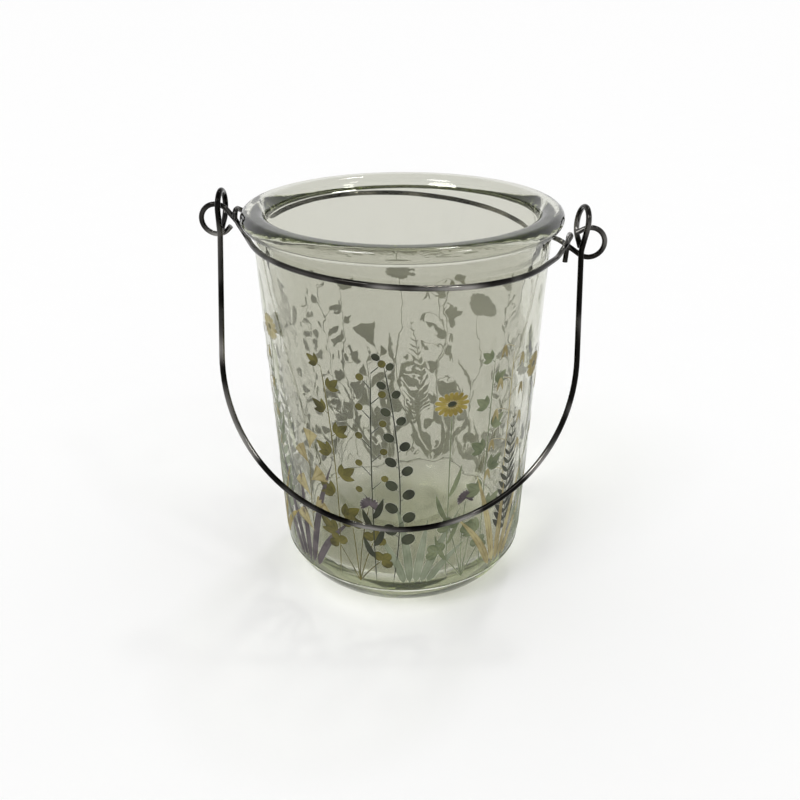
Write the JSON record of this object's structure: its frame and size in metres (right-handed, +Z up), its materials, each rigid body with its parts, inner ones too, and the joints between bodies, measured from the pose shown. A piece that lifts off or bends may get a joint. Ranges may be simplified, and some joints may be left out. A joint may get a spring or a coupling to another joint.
{
  "type": "glass tealight lantern",
  "caption": "Tapered clear glass tealight jar with a rolled rim, botanical print, hooked neck wire and a swinging wire bail handle.",
  "frame": {"origin": "middle of the foot, on the surface that the jar stands on", "axes": "+Z up along the jar's axis; +X through the right-hand eye; -Y is the front, where the bail hangs"},
  "size_m": [0.109, 0.0846, 0.1138],
  "materials": {
    "clear_glass": "clear pressed glass, faintly green, with a fired print",
    "neck_steel": "bright drawn wire, plated",
    "bail_steel": "bright drawn wire, plated"
  },
  "bodies": {
    "jar": {"glass_jar": "clear_glass", "neck_wire_front": "neck_steel", "neck_wire_rear": "neck_steel"},
    "bail": {"bail_handle": "bail_steel"}
  },
  "joints": [
    {"name": "bail_swing", "type": "hinge", "parent": "jar", "child": "bail", "pos_m": [0, 0, 0.10688], "axis": [-0.9992, 0, 0.0391], "range_deg": [0, 305]}
  ]
}
